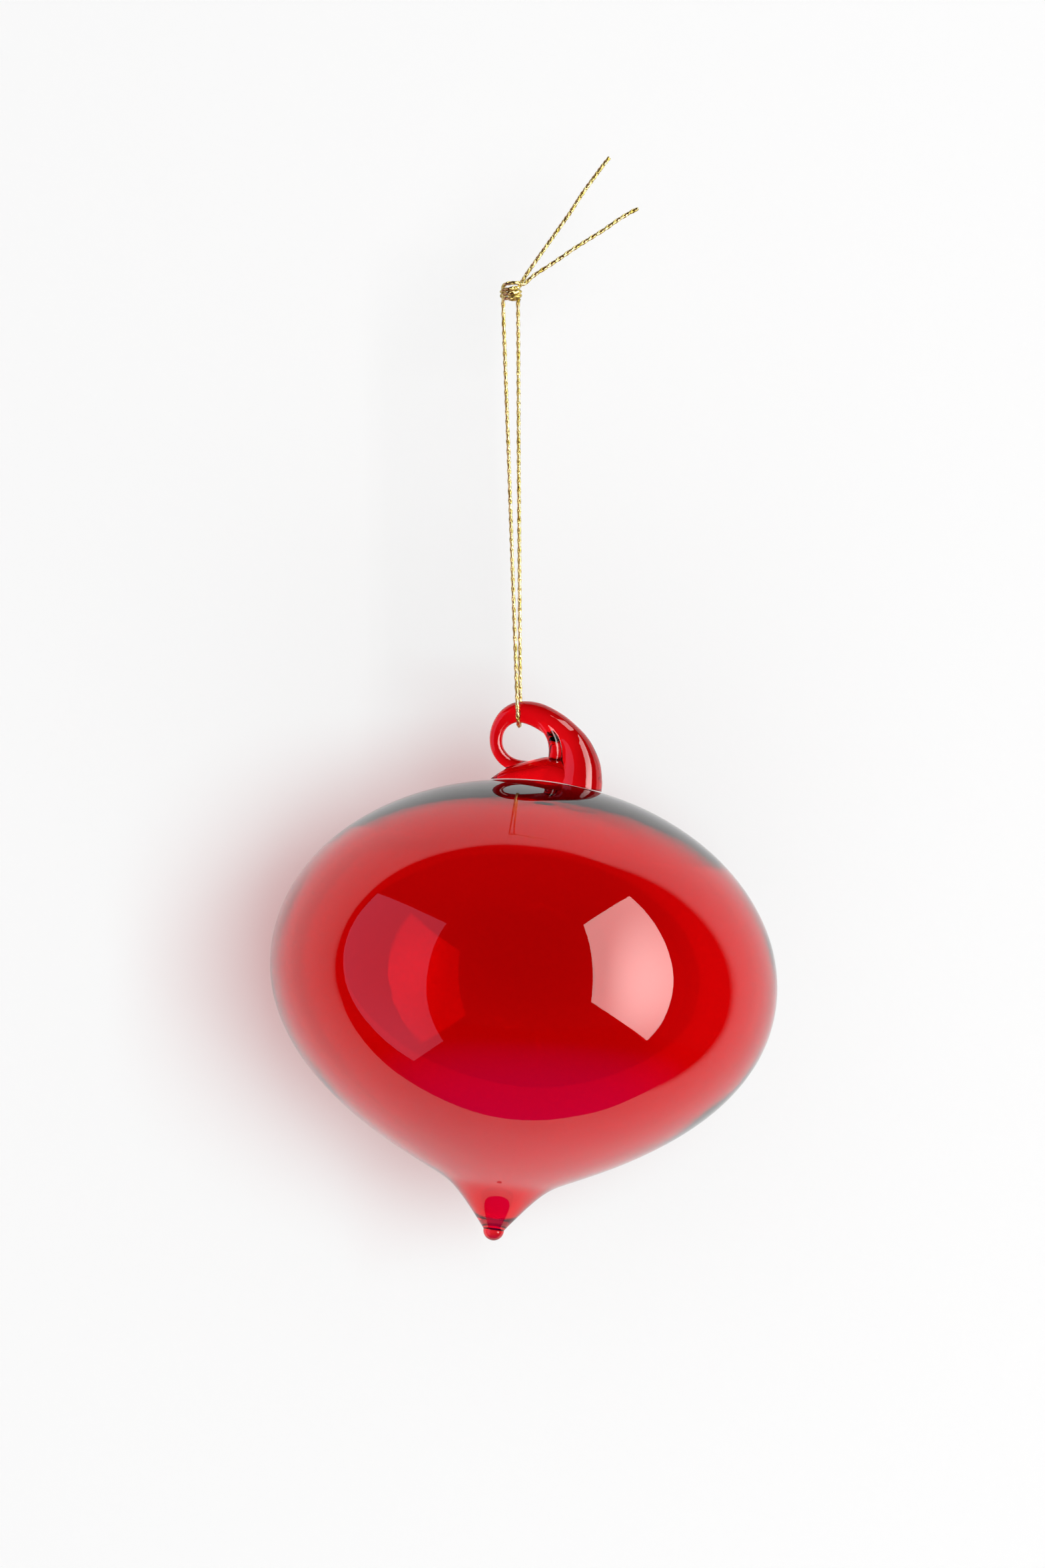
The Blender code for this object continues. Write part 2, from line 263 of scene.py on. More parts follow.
def map_range(tree, value, from_min, from_max, to_min, to_max, smooth=False):
    """Value socket of a value mapped, and held, between two others."""
    node = add_node(tree, "ShaderNodeMapRange")
    if smooth:
        node.interpolation_type = "SMOOTHSTEP"
    limits = {"From Min": from_min, "From Max": from_max, "To Min": to_min, "To Max": to_max}
    for name, number in limits.items():
        node.inputs[name].default_value = number
    tree.links.new(value, node.inputs["Value"])
    return node.outputs["Result"]


def mixed(tree, factor, first, second):
    """Shader socket that goes from the first shader to the second as the factor goes from 0 to 1."""
    mix = add_node(tree, "ShaderNodeMixShader")
    tree.links.new(factor, mix.inputs["Fac"])
    tree.links.new(first, mix.inputs[1])
    tree.links.new(second, mix.inputs[2])
    return mix.outputs["Shader"]


def added(tree, first, second):
    both = add_node(tree, "ShaderNodeAddShader")
    tree.links.new(first, both.inputs[0])
    tree.links.new(second, both.inputs[1])
    return both.outputs["Shader"]


def distance_from(tree, place, centre):
    """Value socket of how far a place socket is from a fixed point."""
    reach = tree.nodes.new("ShaderNodeVectorMath")
    reach.operation = "DISTANCE"
    reach.inputs[1].default_value = centre
    tree.links.new(place, reach.inputs[0])
    return reach.outputs["Value"]


def noise_between(tree, low, high, scale, detail=3.0, distortion=0.0):
    """Value socket of a noise in object coordinates, mapped between two values."""
    place = add_node(tree, "ShaderNodeTexCoord")
    cloud = add_node(tree, "ShaderNodeTexNoise", Scale=scale, Detail=detail, Distortion=distortion)
    tree.links.new(place.outputs["Object"], cloud.inputs["Vector"])
    return map_range(tree, cloud.outputs["Fac"], 0.3, 0.7, low, high)


def colour_between(tree, factor, first, second):
    mix = tree.nodes.new("ShaderNodeMix")
    mix.data_type = "RGBA"
    mix.inputs["A"].default_value = (*first, 1)
    mix.inputs["B"].default_value = (*second, 1)
    tree.links.new(factor, mix.inputs["Factor"])
    return mix.outputs["Result"]


def bump(tree, height, strength, distance):
    node = add_node(tree, "ShaderNodeBump", Strength=strength, Distance=distance)
    tree.links.new(height, node.inputs["Height"])
    return node.outputs["Normal"]


FINE_RIPPLE = 0.06               # height of the finest ripples, as a share of the broad ones
FINE_RIPPLE_SCALE = 1600
RIPPLE_DISTANCE = 0.2 * MM
GLASS_ROUGHNESS = 0.012          # the most of it, in the cloudier places


def ruby_glass(name, first, second, shadow, cloud_scale, ripple_scale, ripple):
    """Clear red glass. Lamps shine through it in its own colour, so that its shadow is tinted."""
    material, tree, output = new_material(name)
    glass = add_node(tree, "ShaderNodeBsdfPrincipled", IOR=1.5)
    glass.inputs["Transmission Weight"].default_value = 1.0
    tree.links.new(colour_between(tree, noise_between(tree, 0, 1, cloud_scale), first, second),
                   glass.inputs["Base Color"])
    tree.links.new(noise_between(tree, 0.0, GLASS_ROUGHNESS, cloud_scale * 2), glass.inputs["Roughness"])
    broad = noise_between(tree, 0, 1, ripple_scale, 2.0, 0.4)
    fine = noise_between(tree, 0, FINE_RIPPLE, FINE_RIPPLE_SCALE, 1.0)
    uneven = bump(tree, maths(tree, "ADD", broad, fine), ripple, RIPPLE_DISTANCE)
    tree.links.new(uneven, glass.inputs["Normal"])
    clear = add_node(tree, "ShaderNodeBsdfTransparent", Color=(*shadow, 1))
    path = add_node(tree, "ShaderNodeLightPath")
    tree.links.new(mixed(tree, path.outputs["Is Shadow Ray"], glass.outputs["BSDF"], clear.outputs["BSDF"]),
                   output.inputs["Surface"])
    return material


FOIL_BRIGHT = (1.0, 0.86, 0.40)
FOIL_DARK = (0.40, 0.29, 0.04)


def gold_foil(name):
    """Metallic foil wrapped round yarn: bright, slightly warm, with fine turns across it."""
    material, tree, output = new_material(name)
    metal = add_node(tree, "ShaderNodeBsdfPrincipled", Metallic=1.0)
    patches = noise_between(tree, 0, 1, 1100)
    tree.links.new(colour_between(tree, patches, FOIL_BRIGHT, FOIL_DARK), metal.inputs["Base Color"])
    tree.links.new(noise_between(tree, 0.10, 0.30, 1600), metal.inputs["Roughness"])
    tree.links.new(bump(tree, noise_between(tree, 0, 1, 3500, 4.0), 0.8, 0.00006), metal.inputs["Normal"])
    tree.links.new(metal.outputs["BSDF"], output.inputs["Surface"])
    return material


GOLD = gold_foil("gold_foil")

# ---------------------------------------------------------------- cord
BRAID_PERIOD = 3.1 * MM          # one full turn of a yarn round the cord
BRAID_LIFT = 0.055 * MM          # how far a yarn rises as it passes over another
YARN_RING = 0.165 * MM           # from the cord's middle line to a yarn's
YARN_WIDTH = 0.21 * MM           # of half a yarn, as is its thickness
YARN_THICKNESS = 0.12 * MM
YARN_SIDES = 8
CORD_STEP = 0.16 * MM
KNOT_TURNS = 1.5                 # of each strand
KNOT_POINTS = 17
KNOT_SIDE = 0.1 * MM
KNOT_REACH = 1.45 * MM
KNOT_FLATNESS = 0.72             # its depth as a share of its width
KNOT_LOW = 0.2 * MM
KNOT_HIGH = 2.3 * MM
KNOT_CROSSING = [(-0.7, -0.75, 2.7), (0.9, -0.85, 2.85)]
BIGHT_POINTS = 40


def braid(name, route):
    """Four yarns braided round a route, two each way, each passing over and under the others."""
    points = resample(route, CORD_STEP)
    lengths = lengths_along(points)
    _, normals, binormals = frames_along(points)
    vertices = []
    faces = []
    for way in (1, -1):
        for half in (0, 1):
            turn = 2 * math.pi * lengths / BRAID_PERIOD
            angle = way * turn + math.pi * half
            ring = YARN_RING + way * BRAID_LIFT * np.cos(2 * turn)
            outward = normals * np.cos(angle)[:, None] + binormals * np.sin(angle)[:, None]
            centre = points + outward * ring[:, None]
            add_yarn(vertices, faces, centre, outward)
    return add_mesh(name, vertices, faces, GOLD)


def add_yarn(vertices, faces, centre, outward):
    """Flat oval tube along a line, its flat side facing outwards, closed at both ends."""
    tangents = np.gradient(centre, axis=0)
    tangents /= np.linalg.norm(tangents, axis=1)[:, None]
    across = np.cross(tangents, outward)
    across /= np.linalg.norm(across, axis=1)[:, None]
    up = np.cross(across, tangents)
    first = len(vertices)
    for c, a, u in zip(centre, across, up):
        for k in range(YARN_SIDES):
            angle = 2 * math.pi * k / YARN_SIDES
            vertices.append(c + a * YARN_WIDTH * math.cos(angle) + u * YARN_THICKNESS * math.sin(angle))
    faces.extend(tube_faces(len(centre), YARN_SIDES, first))


def strand_route(side):
    """One strand from the rod up to the knot. Side -1 is the left one, in front of the rod."""
    reach = HOOK_TOP_ROD_RADIUS + BIGHT_CLEARANCE + CORD_RADIUS
    points = []
    for down, spread, depth in reversed(STRAND_SHAPE):
        aside = BIGHT_SLANT + spread * (STRAND_SPREAD - BIGHT_SLANT)
        points.append((side * aside, side * depth * reach, down * PIVOT.z))
    return smooth_route(points, CORD_STEP)


def tail_route(points):
    return smooth_route([Vector(p) * MM for p in points], CORD_STEP)


def knot_route(start, end, phase, over):
    """Wraps of one strand between its lower and upper end. The last points lead it over the others."""
    points = []
    for i in range(KNOT_POINTS):
        t = (i + 1) / (KNOT_POINTS + 1)
        angle = phase + KNOT_TURNS * 2 * math.pi * t
        x = KNOT_SIDE + KNOT_REACH * math.cos(angle)
        y = KNOT_REACH * KNOT_FLATNESS * math.sin(angle)
        points.append((x, y, KNOT_LOW + (KNOT_HIGH - KNOT_LOW) * t))
    points.extend(Vector(p) * MM for p in over)
    return smooth_route([start, *points, end], CORD_STEP)


def make_cord(name, side, tail_points, replaced, phase, over=()):
    strand = strand_route(side)
    tail = tail_route(tail_points)
    knot = knot_route(strand[-1], tail[0], phase, over)
    route = resample(np.vstack([strand, knot[1:-1], tail]), CORD_STEP)
    length = float(lengths_along(route)[-1])
    cord = braid(name, route)
    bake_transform(cord)
    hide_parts(*replaced)
    return cord, route, length


def make_bight():
    """The half turn under the hook's rod, from the left strand in front to the right one behind."""
    reach = HOOK_TOP_ROD_RADIUS + BIGHT_CLEARANCE + CORD_RADIUS
    angles = np.linspace(0, math.pi, BIGHT_POINTS)
    route = np.column_stack([-BIGHT_SLANT * np.cos(angles), -reach * np.cos(angles),
                             PIVOT.z - reach * np.sin(angles)])
    bight = braid("cord_bight_braid", route)
    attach(bight, "cord_bight")
    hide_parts("cord_bight")
    return bight


bight = make_bight()
left_cord, left_path, left_length = make_cord(
    "cord_left_braid", -1, TAIL_1_ROUTE, ["cord_strand_left", "cord_tail_1", "cord_knot"], math.pi)
right_cord, right_path, right_length = make_cord(
    "cord_right_braid", 1, TAIL_2_ROUTE, ["cord_strand_right", "cord_tail_2"], 0.0, KNOT_CROSSING)


# ---------------------------------------------------------------- blown ball
BALL_SEGMENTS = 192
PROFILE_STEP = 0.55 * MM
RIPPLE = 0.05 * MM               # unevenness of the blown surface
RIPPLE_SCALE = 55
FINER_RIPPLE_SCALE = 120
RIPPLE_FADE = 8.0 * MM           # within this radius it fades out, towards the axis


def bezier(start, start_handle, end_handle, end, count):
    """Points of a cubic Bezier curve, without its first point."""
    t = np.linspace(0, 1, count + 1)[1:, None]
    s = 1 - t
    return s**3 * start + 3 * s * s * t * start_handle + 3 * s * t * t * end_handle + t**3 * end


def outer_profile():
    """The ball's outside as (radius, height), from the blow hole over the dome down to the bead's neck."""
    angles = np.linspace(math.asin(BLOW_HOLE_RADIUS / BALL_RADIUS), math.pi / 2, 90)
    dome = np.column_stack([BALL_RADIUS * np.sin(angles), CROWN_HEIGHT * np.cos(angles)])
    slope = np.array([math.cos(BELLY_SLOPE), math.sin(BELLY_SLOPE)])
    widest = np.array([BALL_RADIUS, 0.0])
    belly_end = np.array([BELLY_END_RADIUS, -BELLY_DEPTH])
    belly = bezier(widest, widest - (0, BELLY_FULLNESS * BELLY_DEPTH),
                   belly_end + BELLY_FLATNESS * (BALL_RADIUS - BELLY_END_RADIUS) * slope, belly_end, 90)
    neck = np.array([BEAD_RADIUS * math.cos(BEAD_NECK_ANGLE),
                     BEAD_RADIUS - TIP_DEPTH + BEAD_RADIUS * math.sin(BEAD_NECK_ANGLE)])
    steep = np.array([math.cos(TIP_SLOPE), math.sin(TIP_SLOPE)])
    tip = bezier(belly_end, belly_end - TIP_HOLLOW * (belly_end[0] - neck[0]) * slope,
                 neck + TIP_STRAIGHT * (belly_end[1] - neck[1]) * steep, neck, 40)
    return np.vstack([dome, belly, tip])


def bead_profile():
    angles = np.linspace(BEAD_NECK_ANGLE, -math.pi / 2, 16)[1:]
    heights = BEAD_RADIUS * np.sin(angles) + BEAD_RADIUS - TIP_DEPTH
    return np.column_stack([BEAD_RADIUS * np.cos(angles), heights])


def inner_profile(outer):
    """The cavity's wall, from the blow hole down to the solid end of the tip."""
    along = np.gradient(outer, axis=0)
    along /= np.linalg.norm(along, axis=1)[:, None]
    near = np.clip(1 - (outer[:, 0] / CROWN_WALL_SPREAD)**2, 0, 1) * (outer[:, 1] > 0)
    wall = BALL_WALL + (CROWN_WALL - BALL_WALL) * near
    inner = outer + wall[:, None] * np.column_stack([along[:, 1], -along[:, 0]])
    cavity_end = TIP_SOLID_LENGTH - TIP_DEPTH
    inner = inner[(inner[:, 1] > cavity_end) & (inner[:, 0] > 0.15 * MM)]
    inner[0, 0] = BLOW_HOLE_RADIUS
    return np.vstack([inner, [0.0, cavity_end]])


def lathe(profile, segments, uneven, seed):
    """Rings of a turned surface, pushed in and out a little, as blown glass is."""
    rings = []
    for radius, height in profile:
        ring = []
        for k in range(segments):
            angle = 2 * math.pi * k / segments
            point = Vector((radius * math.cos(angle), radius * math.sin(angle), height))
            wave = noise.noise(point * RIPPLE_SCALE + seed)
            wave = wave + 0.5 * noise.noise(point * FINER_RIPPLE_SCALE + seed)
            fade = min(1.0, radius / RIPPLE_FADE)
            ring.append(point * (1 + fade * uneven * wave / BALL_RADIUS))
        rings.append(ring)
    return rings


def make_ball(material):
    outer = resample(outer_profile(), PROFILE_STEP)
    inner = resample(inner_profile(outer), PROFILE_STEP)
    outside = lathe(np.vstack([outer, bead_profile()[:-1]]), BALL_SEGMENTS, RIPPLE, Vector((3, 7, 1)))
    inside = lathe(inner[:-1], BALL_SEGMENTS, RIPPLE, Vector((9, 2, 5)))
    rings = list(reversed(inside)) + outside
    n = BALL_SEGMENTS
    vertices = [v for ring in rings for v in ring]
    faces = []
    for i in range(len(rings) - 1):
        for k in range(n):
            a = i * n + k
            b = i * n + (k + 1) % n
            faces.append((a, a + n, b + n, b))
    inner_pole = len(vertices)
    vertices.append(Vector((0, 0, inner[-1][1])))
    outer_pole = len(vertices)
    vertices.append(Vector((0, 0, -TIP_DEPTH)))
    last = (len(rings) - 1) * n
    for k in range(n):
        faces.append((inner_pole, k, (k + 1) % n))
        faces.append((outer_pole, last + (k + 1) % n, last + k))
    vertices = [ORNAMENT @ Vector(v) for v in vertices]
    ball = add_mesh("glass_ball_blown", vertices, faces, material)
    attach(ball, "ornament")
    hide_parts("glass_ball")
    return ball


BALL_GLASS = ruby_glass("ball_glass", (1.0, 0.03, 0.045), (0.985, 0.02, 0.035), shadow=(0.82, 0.34, 0.33),
                        cloud_scale=30, ripple_scale=45, ripple=0.02)
make_ball(BALL_GLASS)

# ---------------------------------------------------------------- hanging hook
HOOK_STEP = 0.25                 # in millimetres, as all the hook's stations are
TUBE_SIDES = 24
FOOT_SIDES = 48
END_SHARES = (0.05, 0.4, 0.75, 0.93)     # radii of a round end's rings, as shares of the tube's
END_FLATNESS = 0.9
HOOK_VOXEL = 0.12 * MM
HOOK_SOFTENING = 16
SEAT_GAP = 0.12 * MM             # between the ball and the hook
# Stations as x, y, height over the crown and radius
LOBE_STATIONS = [
    (5.2, 0.0, -1.2, 3.65),
    (5.15, 0.0, 0.8, 3.6),
    (4.9, 0.1, 3.1, 3.25),
    (3.9, 0.2, 5.6, 2.7),
    (2.2, 0.3, 7.6, 2.25),
    (-0.1, 0.2, 9.15, 2.1),
    (-2.9, 0.0, 10.25, 1.95),
    (-5.6, 0.0, 10.35, 1.66),
    (-7.35, 0.0, 9.4, 1.4),
    (-8.4, 0.1, 7.8, 1.15),
    (-8.7, 0.3, 6.0, 1.05),
    (-8.3, 0.5, 4.2, 1.0),
    (-7.0, 0.7, 2.7, 1.0),
    (-5.1, 0.8, 1.95, 1.0),
    (-2.6, 0.8, 2.0, 1.0),
    (-0.2, 0.5, 2.8, 1.0),
]
INNER_ROLL_STATIONS = [
    (-6.0, -0.3, 10.2, 1.0),
    (-4.3, -0.6, 10.2, 0.95),
    (-3.0, -0.85, 9.85, 0.9),
    (-2.0, -1.0, 9.3, 0.88),
    (-1.1, -1.2, 8.5, 0.88),
    (-0.35, -1.35, 7.6, 0.88),
    (0.2, -1.45, 6.7, 0.92),
    (0.55, -1.45, 5.8, 0.96),
    (0.75, -1.3, 4.9, 1.0),
    (0.8, -1.0, 3.8, 1.0),
]
# Cross-sections of the spread foot as x, underside, top, front and back edge
FOOT_SECTIONS = [
    (-8.85, -1.0, -0.6, -0.4, 0.2),
    (-8.2, -1.2, 0.0, -0.8, 0.7),
    (-7.0, -1.3, 1.0, -1.2, 1.2),
    (-5.66, -1.3, 1.85, -1.5, 1.7),
    (-3.14, -1.3, 2.9, -1.9, 2.4),
    (-0.3, -1.3, 3.9, -2.2, 3.0),
    (1.8, -1.3, 3.7, -2.6, 3.2),
    (3.2, -1.3, 2.4, -2.6, 3.2),
    (5.0, -1.3, 1.2, -2.5, 3.0),
    (6.6, -1.3, 0.5, -2.2, 2.6),
    (7.9, -1.3, 0.0, -1.2, 1.6),
]


def tapered_tube(name, stations):
    """Closed tube through stations of x, y, height and radius, with round ends."""
    centres = smooth_route(stations, HOOK_STEP)
    points = centres[:, :3]
    radii = centres[:, 3]
    tangents, normals, binormals = frames_along(points)
    head = len(END_SHARES)
    rings_points = [points[0] - tangents[0] * radii[0] * end_reach(share) for share in END_SHARES]
    rings_points.extend(points)
    for share in reversed(END_SHARES):
        rings_points.append(points[-1] + tangents[-1] * radii[-1] * end_reach(share))
    rings_radii = [radii[0] * share for share in END_SHARES]
    rings_radii.extend(radii)
    rings_radii.extend(radii[-1] * share for share in reversed(END_SHARES))
    vertices = []
    for i, (centre, radius) in enumerate(zip(rings_points, rings_radii)):
        j = min(max(i - head, 0), len(points) - 1)
        for k in range(TUBE_SIDES):
            angle = 2 * math.pi * k / TUBE_SIDES
            vertices.append(centre + radius * (normals[j] * math.cos(angle) + binormals[j] * math.sin(angle)))
    return add_mesh(name, [Vector(v) * MM for v in vertices], tube_faces(len(rings_points), TUBE_SIDES), None)


def end_reach(share):
    """How far a ring of a round end is from the tube's end, as a share of the radius."""
    return math.sqrt(1 - share**2) * END_FLATNESS


def crown_at(x, y):
    """Height of the ball's outside over its widest ring, above the point (x, y)."""
    return CROWN_HEIGHT * math.sqrt(1 - (x * x + y * y) / BALL_RADIUS**2)


def foot(name):
    """Closed body through oval cross-sections."""
    rows = smooth_route(FOOT_SECTIONS, HOOK_STEP)
    vertices = []
    for x, low, top, front, back in rows:
        for k in range(FOOT_SIDES):
            angle = 2 * math.pi * k / FOOT_SIDES
            y = (front + back) / 2 + (back - front) / 2 * math.cos(angle)
            vertices.append((x, y, (low + top) / 2 + (top - low) / 2 * math.sin(angle)))
    return add_mesh(name, [Vector(v) * MM for v in vertices], tube_faces(len(rows), FOOT_SIDES), None)


def make_hook(material):
    """Lobe, roll and foot melted into one body of glass, seated on the crown."""
    pieces = [
        tapered_tube("hook_lobe", LOBE_STATIONS),
        tapered_tube("hook_roll", INNER_ROLL_STATIONS),
        foot("hook_foot"),
    ]
    hook = pieces[0]
    for other in pieces[1:]:
        hook.data = joined_mesh(hook, other)
        bpy.data.objects.remove(other, do_unlink=True)
    remesh = hook.modifiers.new("melt", "REMESH")
    remesh.mode = "VOXEL"
    remesh.voxel_size = HOOK_VOXEL
    smooth = hook.modifiers.new("soften", "SMOOTH")
    smooth.factor = 0.5
    smooth.iterations = HOOK_SOFTENING
    bpy.context.view_layer.update()
    mesh = bpy.data.meshes.new_from_object(hook.evaluated_get(bpy.context.evaluated_depsgraph_get()))
    hook.modifiers.clear()
    hook.data = mesh
    seat_on_crown(mesh)
    mesh.transform(Matrix.Translation((0, 0, CROWN_HEIGHT)))
    mesh.transform(ORNAMENT)
    mesh.materials.clear()
    mesh.materials.append(material)
    mesh.shade_smooth()
    hook.name = "hanging_hook_glass"
    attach(hook, "ornament")
    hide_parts("hanging_hook")
    return hook


def joined_mesh(first, second):
    work = bmesh.new()
    work.from_mesh(first.data)
    work.from_mesh(second.data)
    mesh = bpy.data.meshes.new(first.name)
    work.to_mesh(mesh)
    work.free()
    return mesh


def seat_on_crown(mesh):
    """Everything under the crown's surface is brought up to it, which leaves a thin flat lip."""
    for vertex in mesh.vertices:
        x, y, z = vertex.co
        floor = crown_at(x, y) - CROWN_HEIGHT + SEAT_GAP
        if z < floor:
            vertex.co.z = floor


HOOK_GLASS = ruby_glass("hook_glass", (0.93, 0.004, 0.008), (0.88, 0.002, 0.006), shadow=(0.70, 0.30, 0.30),
                        cloud_scale=120, ripple_scale=150, ripple=0.03)
make_hook(HOOK_GLASS)


# ---------------------------------------------------------------- studio
WALL_DISTANCE = 41.2 * MM
BALL_CENTRE = ORNAMENT.translation
WALL_LEFT = 1.6
WALL_RIGHT = 0.26
WALL_UP = 0.50
WALL_LOW = -0.45
WALL_IN_GLASS = 0.9              # how bright the wall is in reflections
# In reflections the wall fades out between these places, as start and end along x or z
WALL_FADES = [(0, -0.55, -1.6), (0, 0.17, 0.26), (2, 0.26, 0.39)]
FLOOR_HEIGHT = -1.0
FLOOR_REACH = 1.3                # each way from under the hanging point
FLOOR_PAINTED_REFLECTION = 0.42                # what reflections see of the floor: a magenta glow, a painted reflection
FLOOR_PAINTED_REFLECTION_FADE = (0.15, 1.1)    # where that begins and ends to fade out
FLOOR_SHINE = 0.36               # lifts the floor to the paleness of the wall
WALL_GLOW = 0.20
WORLD_SEEN = 0.90                # strengths of the world: looked at, as light on things, in reflections
WORLD_LIGHT = 0.26
WORLD_IN_GLASS = 0.01
PAINTED_TURNED_SHADE = 0.5               # painted shade: how much darker the wall is drawn for light turned back inside the glass
INNER_SHARE = 0.35               # of a soft lamp's glow, as it is seen mirrored inside the glass
PANEL_MIDDLE = (0, 0.5, 0.55)    # a soft lamp's brightest place, in its own box of 1 x 1 x 1
PANEL_REACH = 0.7                # how far from there its brightness falls
# Corners of the two soft lamps: azimuth (0 behind the camera, 90 to the right), elevation, distance
SOFTBOX = [(36.5, 40.7, 2.09), (79.1, 50.5, 1.39), (62.4, -35.7, 1.12), (30.0, -11.4, 1.80)]
SIDE_PANEL = [(-88.0, 43.6, 0.52), (-36.6, 37.9, 0.67), (-48.5, -42.8, 1.09), (-79.4, -50.2, 1.05)]


def stage_plane(name, corners, material):
    plane = add_mesh(name, corners, [tuple(range(len(corners)))], material, smooth=False)
    return plane


def wall_material():
    """White wall, seen from the front only. Seen through the glass after a turn inside it, it is drawn
    darker: painted shade.
    """
    material, tree, output = new_material("white_wall")
    paint = add_node(tree, "ShaderNodeBsdfDiffuse", Color=(0.8, 0.8, 0.8, 1))
    glow = add_node(tree, "ShaderNodeEmission", Color=(1, 1, 1, 1), Strength=WALL_GLOW)
    dark = add_node(tree, "ShaderNodeBsdfDiffuse", Color=(0.02, 0.02, 0.02, 1))
    clear = add_node(tree, "ShaderNodeBsdfTransparent")
    side = add_node(tree, "ShaderNodeNewGeometry")
    path = add_node(tree, "ShaderNodeLightPath")
    turned = maths(tree, "GREATER_THAN", path.outputs["Glossy Depth"], 0.5)
    through = maths(tree, "COMPARE", path.outputs["Transmission Depth"], 2.0, 0.1)
    # painted shade: for light turned back inside the glass and then seen through it, the wall is mixed
    # towards near black
    painted_turned_shade = maths(tree, "MULTIPLY", maths(tree, "MULTIPLY", turned, through), PAINTED_TURNED_SHADE)
    lit = added(tree, paint.outputs["BSDF"], glow.outputs["Emission"])
    unseen = maths(tree, "MULTIPLY_ADD", wall_fade(tree), -WALL_IN_GLASS, 1.0)
    faded = maths(tree, "MULTIPLY", path.outputs["Is Glossy Ray"], unseen)
    gone = maths(tree, "MAXIMUM", side.outputs["Backfacing"], faded)
    wall = mixed(tree, painted_turned_shade, lit, dark.outputs["BSDF"])
    tree.links.new(mixed(tree, gone, wall, clear.outputs["BSDF"]), output.inputs["Surface"])
    return material


def wall_fade(tree):
    """How much of the wall is seen in reflections: all of it near the ball, nothing at its ends."""
    place = add_node(tree, "ShaderNodeTexCoord")
    parts = tree.nodes.new("ShaderNodeSeparateXYZ")
    tree.links.new(place.outputs["Object"], parts.inputs[0])
    seen = None
    for axis, start, end in WALL_FADES:
        fade = map_range(tree, parts.outputs[axis], start, end, 1.0, 0.0, smooth=True)
        seen = fade if seen is None else maths(tree, "MULTIPLY", seen, fade)
    return seen


def floor_material():
    """Pale floor. In reflections it glows magenta instead, a painted reflection, the less the farther it is
    from under the ball.
    """
    material, tree, output = new_material("pale_floor")
    paint = add_node(tree, "ShaderNodeBsdfDiffuse", Color=(0.8, 0.8, 0.8, 1))
    shine = add_node(tree, "ShaderNodeEmission", Color=(1, 1, 1, 1))
    # painted reflection: the magenta glow that glossy rays see in place of the floor
    glow = add_node(tree, "ShaderNodeEmission", Color=(0.9, 0.02, 1.0, 1))
    place = add_node(tree, "ShaderNodeTexCoord")
    away = distance_from(tree, place.outputs["Object"], (0, 0, FLOOR_HEIGHT))
    near, far = FLOOR_PAINTED_REFLECTION_FADE
    tree.links.new(map_range(tree, away, near, far, FLOOR_PAINTED_REFLECTION, 0.0, smooth=True), glow.inputs["Strength"])
    path = add_node(tree, "ShaderNodeLightPath")
    lift = maths(tree, "MULTIPLY", path.outputs["Is Camera Ray"], FLOOR_SHINE)
    tree.links.new(lift, shine.inputs["Strength"])
    lit = added(tree, paint.outputs["BSDF"], shine.outputs["Emission"])
    tree.links.new(mixed(tree, path.outputs["Is Glossy Ray"], lit, glow.outputs["Emission"]),
                   output.inputs["Surface"])
    return material


def make_stage():
    y = WALL_DISTANCE
    left, right = BALL_CENTRE.x - WALL_LEFT, BALL_CENTRE.x + WALL_RIGHT
    low, high = WALL_LOW, BALL_CENTRE.z + WALL_UP
    stage_plane("wall", [(left, y, low), (right, y, low), (right, y, high), (left, y, high)], wall_material())
    reach, base = FLOOR_REACH, FLOOR_HEIGHT
    corners = [(-reach, -reach, base), (reach, -reach, base), (reach, reach, base), (-reach, reach, base)]
    stage_plane("floor", corners, floor_material())


def bearing(azimuth, elevation):
    """Direction from the ball. Azimuth 0 points to the camera, 90 to the right."""
    a, e = math.radians(azimuth), math.radians(elevation)
    return Vector((math.sin(a) * math.cos(e), -math.cos(a) * math.cos(e), math.sin(e)))


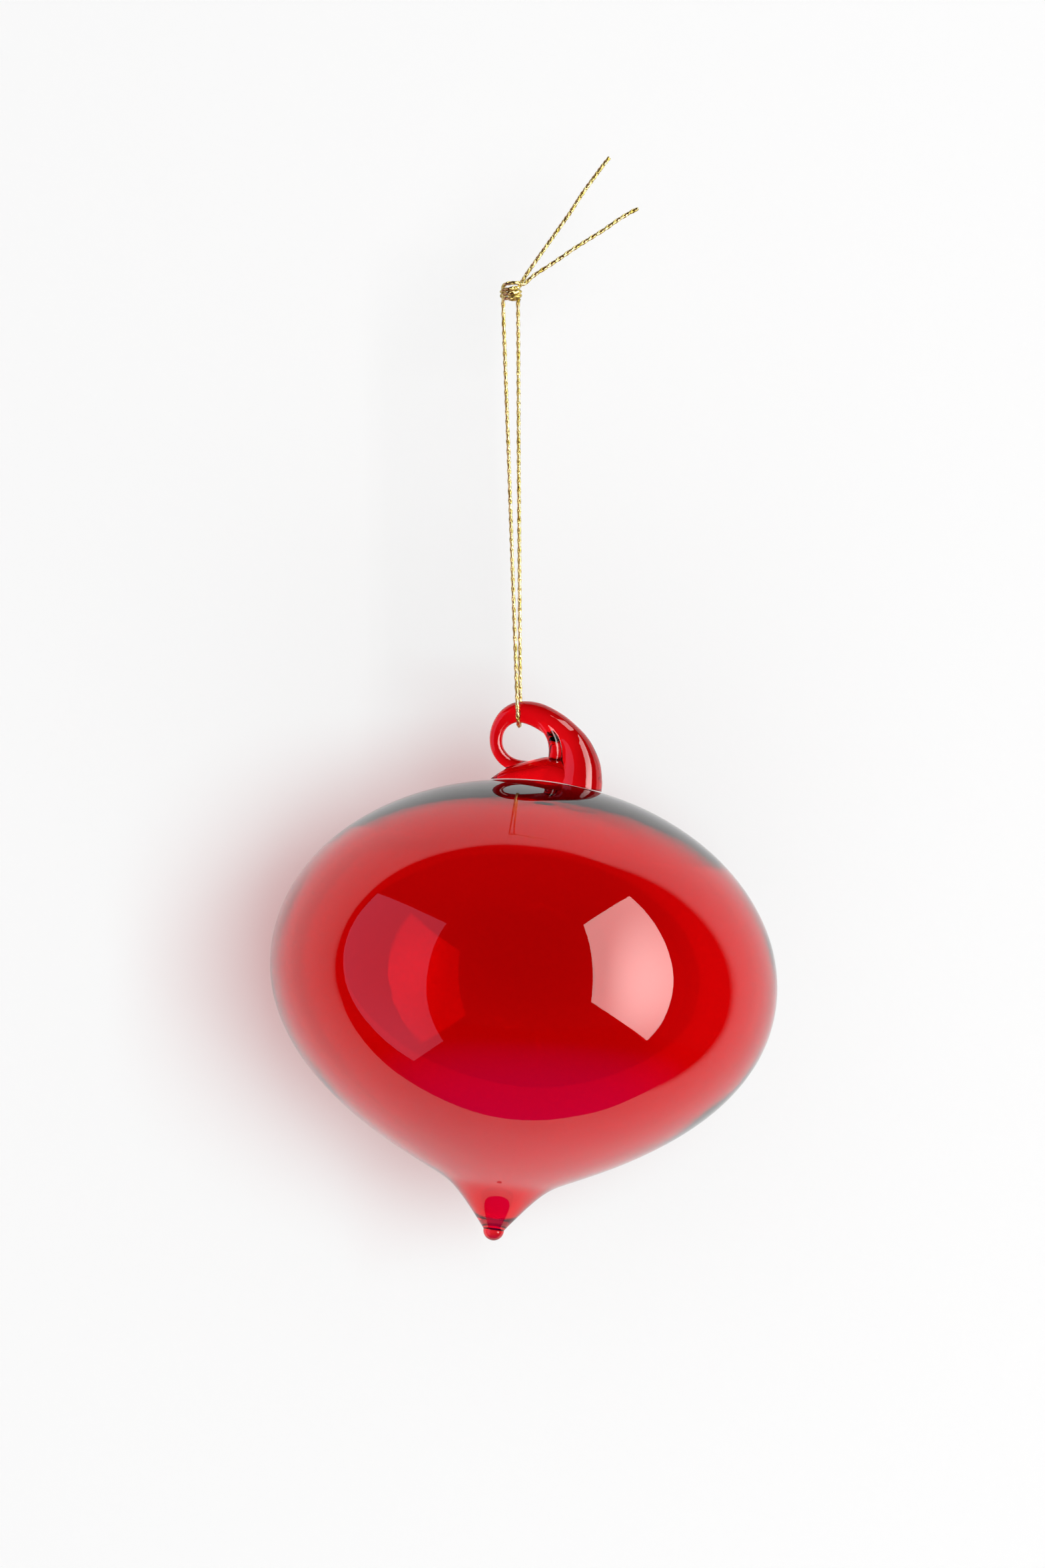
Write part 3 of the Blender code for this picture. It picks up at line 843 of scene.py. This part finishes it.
def soft_panel(name, corners, strength, colour, rim):
    """Glowing cloth of a soft lamp, brighter in the middle than at its rim. It lights no wall.

    It is dimmer where the glass mirrors it from inside, and unseen straight through the glass.
    """
    material, tree, output = new_material(name)
    glow = add_node(tree, "ShaderNodeEmission", Color=(*colour, 1))
    clear = add_node(tree, "ShaderNodeBsdfTransparent")
    place = add_node(tree, "ShaderNodeTexCoord")
    away = distance_from(tree, place.outputs["Generated"], PANEL_MIDDLE)
    fall = map_range(tree, away, 0.0, PANEL_REACH, strength, strength * rim, smooth=True)
    path = add_node(tree, "ShaderNodeLightPath")
    diffuse, transmission = path.outputs["Diffuse Depth"], path.outputs["Transmission Depth"]
    depth = maths(tree, "MULTIPLY_ADD", diffuse, 2.0, transmission)
    share = map_range(tree, depth, 0.0, 1.0, 1.0, INNER_SHARE)
    direct = maths(tree, "LESS_THAN", diffuse, 0.5)
    lit = maths(tree, "MULTIPLY", maths(tree, "MULTIPLY", share, direct), fall)
    tree.links.new(lit, glow.inputs["Strength"])
    straight = maths(tree, "MULTIPLY", maths(tree, "LESS_THAN", path.outputs["Glossy Depth"], 0.5),
                     maths(tree, "GREATER_THAN", transmission, 0.5))
    tree.links.new(mixed(tree, straight, glow.outputs["Emission"], clear.outputs["BSDF"]),
                   output.inputs["Surface"])
    points = []
    for azimuth, elevation, distance in corners:
        points.append(BALL_CENTRE + bearing(azimuth, elevation) * distance)
    panel = stage_plane(name, points, material)
    panel.visible_camera = False
    panel.visible_diffuse = False
    panel.visible_shadow = False


def area_light(name, azimuth, elevation, distance, size, power):
    """Square lamp that faces the ball and isn't seen in the glass."""
    way = bearing(azimuth, elevation)
    data = bpy.data.lights.new(name, "AREA")
    data.shape = "SQUARE"
    data.size = size
    data.energy = power
    lamp = bpy.data.objects.new(name, data)
    bpy.context.scene.collection.objects.link(lamp)
    lamp.location = BALL_CENTRE + way * distance
    lamp.rotation_euler = way.to_track_quat("Z", "Y").to_euler()
    lamp.visible_glossy = False
    lamp.visible_transmission = False


def make_world():
    """Pale where it is looked at, dimmer as light, and nearly dark in reflections, for the glass's depth."""
    world = bpy.data.worlds.new("studio")
    bpy.context.scene.world = world
    world.use_nodes = True
    tree = world.node_tree
    tree.nodes.clear()
    output = tree.nodes.new("ShaderNodeOutputWorld")
    pale = add_node(tree, "ShaderNodeBackground", Color=(1, 1, 1, 1), Strength=WORLD_SEEN)
    soft = add_node(tree, "ShaderNodeBackground", Color=(1, 1, 1, 1), Strength=WORLD_LIGHT)
    dim = add_node(tree, "ShaderNodeBackground", Color=(1, 1, 1, 1), Strength=WORLD_IN_GLASS)
    path = add_node(tree, "ShaderNodeLightPath")
    diffuse, glossy = path.outputs["Is Diffuse Ray"], path.outputs["Is Glossy Ray"]
    straight = mixed(tree, diffuse, pale.outputs["Background"], soft.outputs["Background"])
    tree.links.new(mixed(tree, glossy, straight, dim.outputs["Background"]), output.inputs["Surface"])


def make_studio():
    make_stage()
    make_world()
    soft_panel("softbox", SOFTBOX, strength=19.0, colour=(1.0, 0.97, 0.93), rim=0.30)
    soft_panel("side_panel", SIDE_PANEL, strength=1.2, colour=(1.0, 0.62, 1.0), rim=0.7)
    area_light("wall_lamp", azimuth=16, elevation=1, distance=2.0, size=0.96, power=30.0)
    bpy.context.scene.view_settings.view_transform = "Standard"


make_studio()
